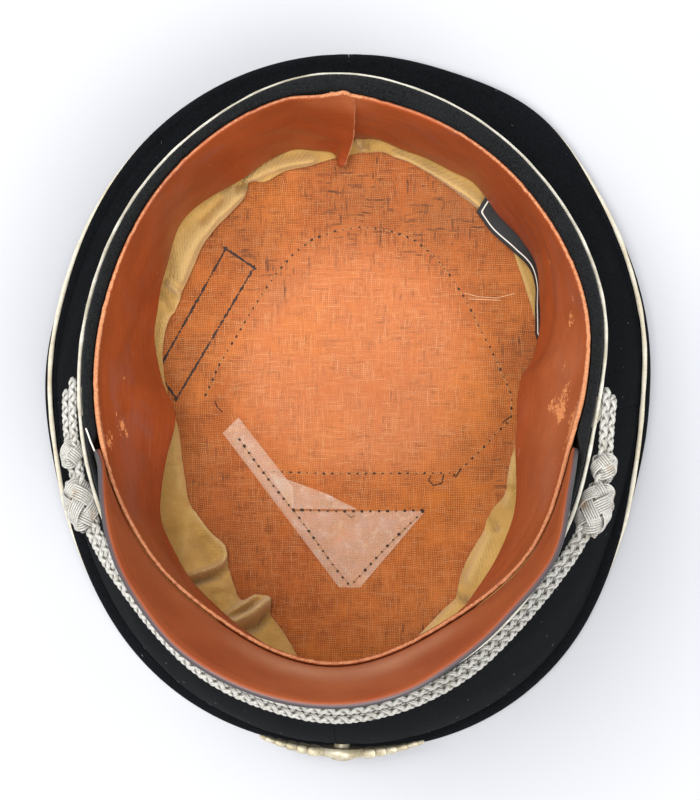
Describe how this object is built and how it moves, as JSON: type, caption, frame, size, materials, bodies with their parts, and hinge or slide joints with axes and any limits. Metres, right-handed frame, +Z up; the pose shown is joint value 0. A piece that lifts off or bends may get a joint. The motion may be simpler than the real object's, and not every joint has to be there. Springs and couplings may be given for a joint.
{
  "type": "visor cap",
  "caption": "Black wool visor cap lying upside-down on its crown, open to its leather sweatband and rust-orange lining, with a silver chin cord round the front.",
  "frame": {"origin": "on the surface the cap lies on, under the middle of its bounding box", "axes": "+Z up out of the open head hollow, -Y towards the cap's front with its visor, +X towards the wearer's right"},
  "size_m": [0.2276, 0.2679, 0.1599],
  "materials": {
    "wool": "black felted wool cloth",
    "band_cloth": "black velvety wool band",
    "piping": "cream wool cord piping",
    "fibre": "lacquered fibre board, red-brown below and black above",
    "hide": "red-brown sweatband leather with a raw tan edge",
    "cotton": "khaki cotton twill",
    "oilcloth": "rust-orange oiled cloth with a coarse weave",
    "film": "clear yellowed film",
    "label_cloth": "plain black woven strip",
    "silver_thread": "matt silver braid",
    "dull_silver": "aged dull silver"
  },
  "bodies": {
    "root": {"crown_top": "wool", "crown_piping": "piping", "quarter_rear_right": "wool", "quarter_rear_left": "wool", "quarter_front_left": "wool", "quarter_front_right": "wool", "band": "band_cloth", "piping_lower": "piping", "piping_upper": "piping", "visor": "fibre", "sweatband": "hide", "lining_side": "cotton", "lining_top": "oilcloth", "sweat_shield": "film", "label": "label_cloth", "chin_cord": "silver_thread", "knot_small_left": "silver_thread", "knot_large_left": "silver_thread", "knot_small_right": "silver_thread", "knot_large_right": "silver_thread", "button_left": "dull_silver", "button_right": "dull_silver", "badge": "dull_silver"}
  },
  "joints": []
}
